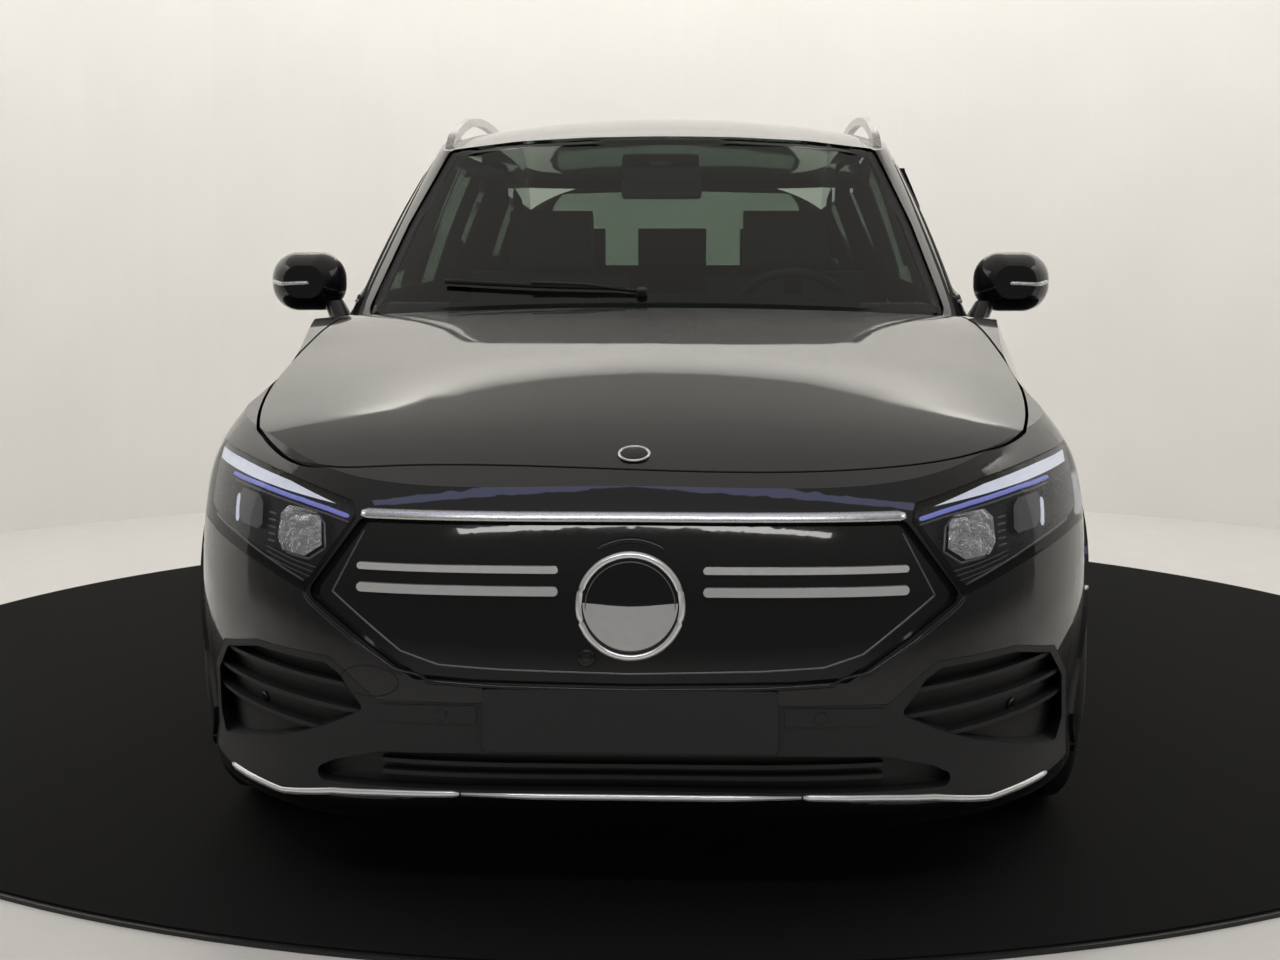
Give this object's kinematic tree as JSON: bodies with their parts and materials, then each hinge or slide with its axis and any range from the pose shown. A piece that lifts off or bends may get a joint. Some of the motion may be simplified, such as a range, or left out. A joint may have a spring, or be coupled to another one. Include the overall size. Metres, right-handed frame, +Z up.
{
  "type": "electric crossover",
  "caption": "Full-size battery-electric crossover car with opening doors, hood and tailgate, steered front wheels and a furnished cabin.",
  "frame": {"origin": "on the ground at the middle of the car's overall length and width", "axes": "-Y towards the nose, +X to the car's own left, +Z up"},
  "size_m": [2.0208, 4.473, 1.6178],
  "materials": {
    "body_paint": "gloss metallic black",
    "body_structure": "satin",
    "black_gloss": "gloss",
    "black_plastic": "matte",
    "chrome": "polished",
    "satin_aluminium": "satin",
    "cast_aluminium": "as cast",
    "rim_aluminium": "painted silver",
    "steel": "satin black",
    "glass": "green tinted",
    "lamp_clear": "clear",
    "lamp_red": "red",
    "seat_leather": "grained",
    "wheel_leather": "smooth",
    "tyre": "matte"
  },
  "bodies": {
    "body": {"front_fender_left": "body_paint", "front_fender_right": "body_paint", "front_bumper": "body_paint", "rear_bumper": "body_paint", "roof_panel": "body_paint", "body_side_left": "body_paint", "body_side_right": "body_paint", "front_grille": "black_gloss", "lower_intake": "black_plastic", "bumper_trim": "black_plastic", "front_plate": "black_plastic", "rear_plate": "black_plastic", "grille_blades": "chrome", "headlamp_left": "lamp_clear", "headlamp_right": "lamp_clear", "tail_lamp_left": "lamp_red", "tail_lamp_right": "lamp_red", "windscreen": "glass", "quarter_glass": "glass", "floor_pan": "body_structure", "cowl": "black_plastic", "front_subframe": "steel", "rear_subframe": "steel", "drive_unit": "cast_aluminium", "battery_pack": "cast_aluminium", "wheel_liners": "black_plastic", "front_seats": "seat_leather", "rear_seat": "seat_leather", "dashboard": "black_plastic", "roof_rails": "satin_aluminium"},
    "hood": {"hood": "body_paint"},
    "tailgate": {"tailgate": "body_paint", "tailgate_glass": "glass", "tailgate_lamp": "lamp_red"},
    "front_door_left": {"front_door_left": "body_paint", "front_door_glass_left": "glass", "mirror_left": "body_paint"},
    "rear_door_left": {"rear_door_left": "body_paint", "rear_door_glass_left": "glass"},
    "knuckle_left": {"knuckle_left": "steel"},
    "front_wheel_left": {"front_rim_left": "rim_aluminium", "front_tyre_left": "tyre"},
    "rear_wheel_left": {"rear_rim_left": "rim_aluminium", "rear_tyre_left": "tyre"},
    "front_door_right": {"front_door_right": "body_paint", "front_door_glass_right": "glass", "mirror_right": "body_paint"},
    "rear_door_right": {"rear_door_right": "body_paint", "rear_door_glass_right": "glass"},
    "knuckle_right": {"knuckle_right": "steel"},
    "front_wheel_right": {"front_rim_right": "rim_aluminium", "front_tyre_right": "tyre"},
    "rear_wheel_right": {"rear_rim_right": "rim_aluminium", "rear_tyre_right": "tyre"},
    "steering_wheel": {"steering_wheel": "wheel_leather"}
  },
  "joints": [
    {"name": "hood_hinge", "type": "hinge", "parent": "body", "child": "hood", "pos_m": [0, -0.8635, 1.034], "axis": [-1, 0, 0], "range_deg": [0, 55]},
    {"name": "tailgate_hinge", "type": "hinge", "parent": "body", "child": "tailgate", "pos_m": [0, 1.8495, 1.491], "axis": [1, 0, 0], "range_deg": [0, 80]},
    {"name": "front_door_left_hinge", "type": "hinge", "parent": "body", "child": "front_door_left", "pos_m": [0.89, -0.8045, 0.6], "axis": [0, 0, -1], "range_deg": [0, 65]},
    {"name": "front_door_right_hinge", "type": "hinge", "parent": "body", "child": "front_door_right", "pos_m": [-0.89, -0.8045, 0.6], "axis": [0, 0, 1], "range_deg": [0, 65]},
    {"name": "rear_door_left_hinge", "type": "hinge", "parent": "body", "child": "rear_door_left", "pos_m": [0.89, 0.299, 0.6], "axis": [0, 0, -1], "range_deg": [0, 65]},
    {"name": "rear_door_right_hinge", "type": "hinge", "parent": "body", "child": "rear_door_right", "pos_m": [-0.89, 0.299, 0.6], "axis": [0, 0, 1], "range_deg": [0, 65]},
    {"name": "steer_left", "type": "hinge", "parent": "body", "child": "knuckle_left", "pos_m": [0.7455, -1.3415, 0.215], "axis": [-0.2415, 0, 0.9704], "range_deg": [-33, 33]},
    {"name": "front_wheel_left_spin", "type": "hinge", "parent": "knuckle_left", "child": "front_wheel_left", "pos_m": [0.7925, -1.3415, 0.3588], "axis": [1, 0, 0], "continuous": true},
    {"name": "rear_wheel_left_spin", "type": "hinge", "parent": "body", "child": "rear_wheel_left", "pos_m": [0.7925, 1.3875, 0.3588], "axis": [1, 0, 0], "continuous": true},
    {"name": "steer_right", "type": "hinge", "parent": "body", "child": "knuckle_right", "pos_m": [-0.7455, -1.3415, 0.215], "axis": [0.2415, 0, 0.9704], "range_deg": [-33, 33]},
    {"name": "front_wheel_right_spin", "type": "hinge", "parent": "knuckle_right", "child": "front_wheel_right", "pos_m": [-0.7925, -1.3415, 0.3588], "axis": [1, 0, 0], "continuous": true},
    {"name": "rear_wheel_right_spin", "type": "hinge", "parent": "body", "child": "rear_wheel_right", "pos_m": [-0.7925, 1.3875, 0.3588], "axis": [1, 0, 0], "continuous": true},
    {"name": "steering_wheel_turn", "type": "hinge", "parent": "body", "child": "steering_wheel", "pos_m": [0.36, -0.281, 0.985], "axis": [0, 0.9063, 0.4226], "range_deg": [-470, 470]}
  ],
  "couplings": [
    {"joint": "steer_right", "follows": "steer_left", "ratio": 1},
    {"joint": "steering_wheel_turn", "follows": "steer_left", "ratio": 14}
  ]
}
